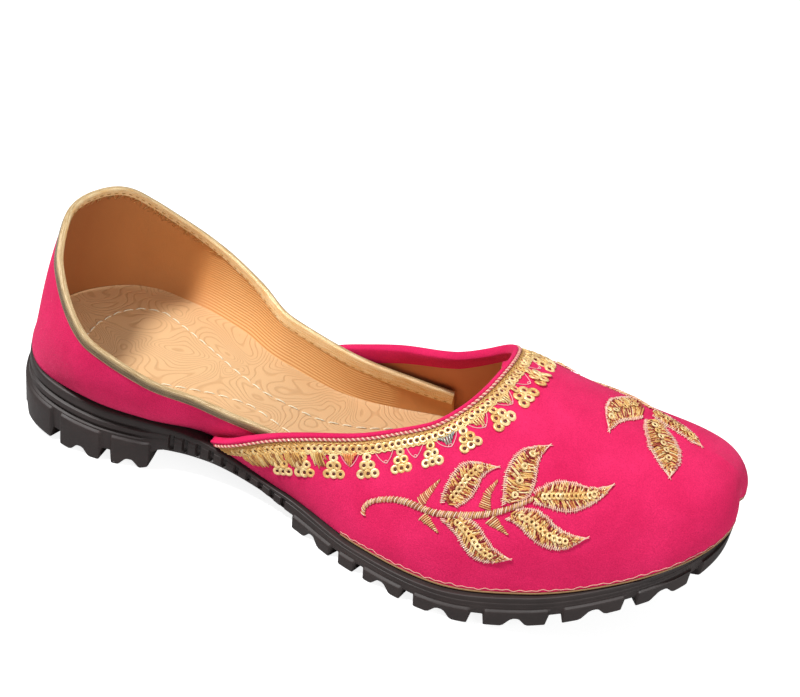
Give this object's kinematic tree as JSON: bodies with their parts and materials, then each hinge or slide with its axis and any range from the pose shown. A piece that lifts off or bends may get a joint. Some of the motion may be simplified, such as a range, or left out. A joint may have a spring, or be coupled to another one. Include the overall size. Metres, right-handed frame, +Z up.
{
  "type": "mojari shoe",
  "caption": "Slip-on mojari with a velvet vamp over a low open quarter, bound collar, rolled throat edge, flat insole and a moulded lugged rubber sole with a low heel.",
  "frame": {"origin": "on the floor under the middle of the shoe's length and width", "axes": "+X from heel to toe, +Z up, +Y across the foot"},
  "size_m": [0.238, 0.0998, 0.0702],
  "materials": {
    "sole_rubber": "matte moulded rubber",
    "insole_leatherette": "embossed leatherette, satin",
    "vamp_velvet": "velvet pile",
    "quarter_velvet": "velvet pile outside, ribbed tan lining inside",
    "gold_binding": "metallic foil tape",
    "pink_binding": "velvet pile",
    "gold_cord": "metallic thread"
  },
  "bodies": {
    "root": {"outsole": "sole_rubber", "insole": "insole_leatherette", "upper_vamp": "vamp_velvet", "upper_quarter": "quarter_velvet", "collar_binding": "gold_binding", "throat_binding": "pink_binding", "throat_cord": "gold_cord"}
  },
  "joints": []
}
